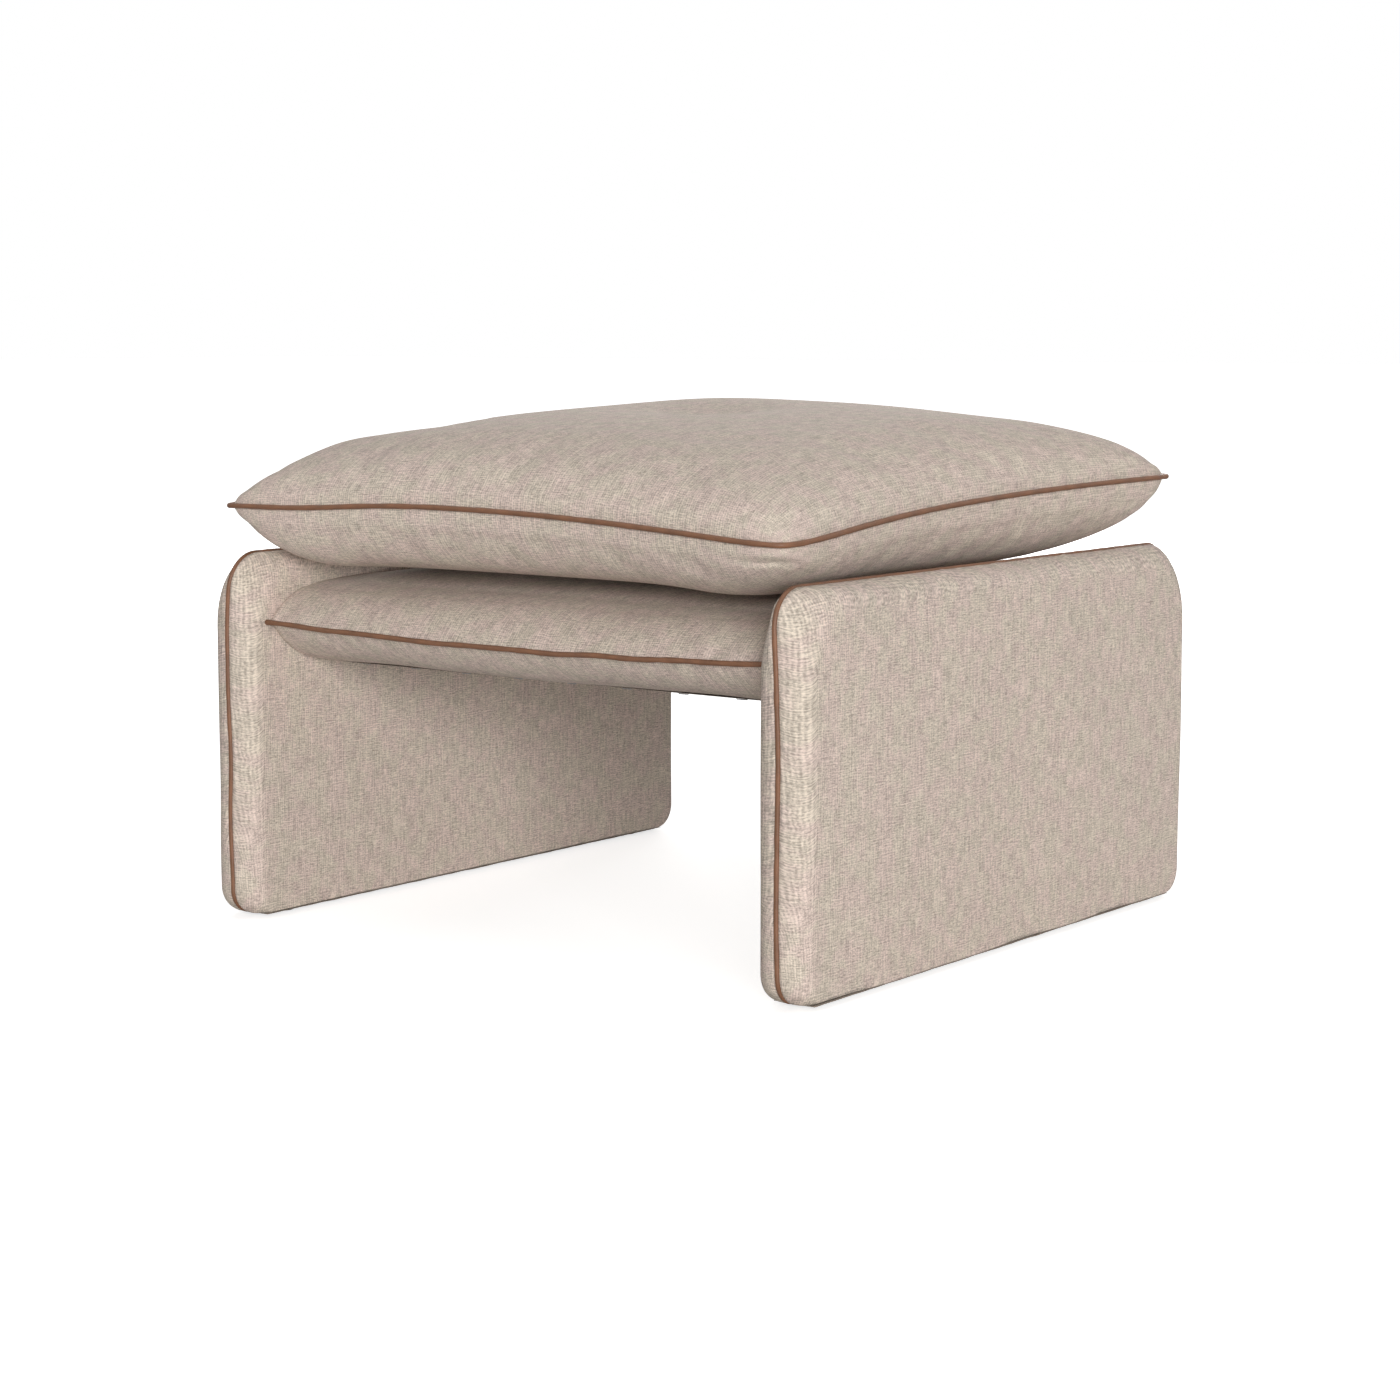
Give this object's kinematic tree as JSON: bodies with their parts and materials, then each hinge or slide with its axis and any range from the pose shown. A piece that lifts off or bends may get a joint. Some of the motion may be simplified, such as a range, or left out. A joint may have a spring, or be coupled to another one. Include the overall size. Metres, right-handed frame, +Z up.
{
  "type": "ottoman",
  "caption": "Low square ottoman: two padded side panels hold a webbed deck under a loose knife-edge cushion, all with contrasting piped seams.",
  "frame": {"origin": "floor level under the middle of the ottoman", "axes": "+X towards the right side panel, -Y towards the front, +Z up"},
  "size_m": [0.6506, 0.6252, 0.4575],
  "materials": {
    "upholstery": "matte",
    "piping": "satin",
    "foam": "matte",
    "ticking": "matte",
    "webbing": "matte",
    "lining": "matte",
    "zip_tape": "matte",
    "zip_teeth": "satin",
    "zip_metal": "satin",
    "wood": "matte",
    "steel": "satin",
    "glide": "satin"
  },
  "bodies": {
    "frame": {"left_board": "wood", "right_board": "wood", "left_inner_pad": "foam", "right_inner_pad": "foam", "left_outer_pad": "foam", "right_outer_pad": "foam", "left_inner_cover": "upholstery", "right_inner_cover": "upholstery", "left_outer_cover": "upholstery", "right_outer_cover": "upholstery", "left_piping": "piping", "right_piping": "piping", "left_foot_lining": "lining", "right_foot_lining": "lining", "left_glides": "glide", "right_glides": "glide", "tee_nuts": "steel", "deck_bolts": "steel", "deck_washers": "steel", "front_rail": "wood", "rear_rail": "wood", "left_rail": "wood", "right_rail": "wood", "corner_blocks": "wood", "corner_screws": "steel", "long_webbing": "webbing", "cross_webbing": "webbing", "deck_foam": "foam", "front_roll": "foam", "rear_roll": "foam", "deck_cover": "upholstery", "front_under_cover": "upholstery", "rear_under_cover": "upholstery", "front_piping": "piping", "rear_piping": "piping", "deck_lining": "lining"},
    "cushion": {"cushion_insert": "ticking", "cushion_top_cover": "upholstery", "cushion_bottom_cover": "upholstery", "cushion_piping": "piping", "zip_tapes": "zip_tape", "zip_teeth": "zip_teeth", "zip_stops": "zip_metal"},
    "zip_slider": {"zip_slider": "zip_metal"}
  },
  "joints": [
    {"name": "cushion_lift", "type": "slide", "parent": "frame", "child": "cushion", "axis": [0, 0, 1], "range_m": [0, 0.15]},
    {"name": "zip_slide", "type": "slide", "parent": "cushion", "child": "zip_slider", "axis": [-1, 0, 0], "range_m": [0, 0.327]}
  ]
}
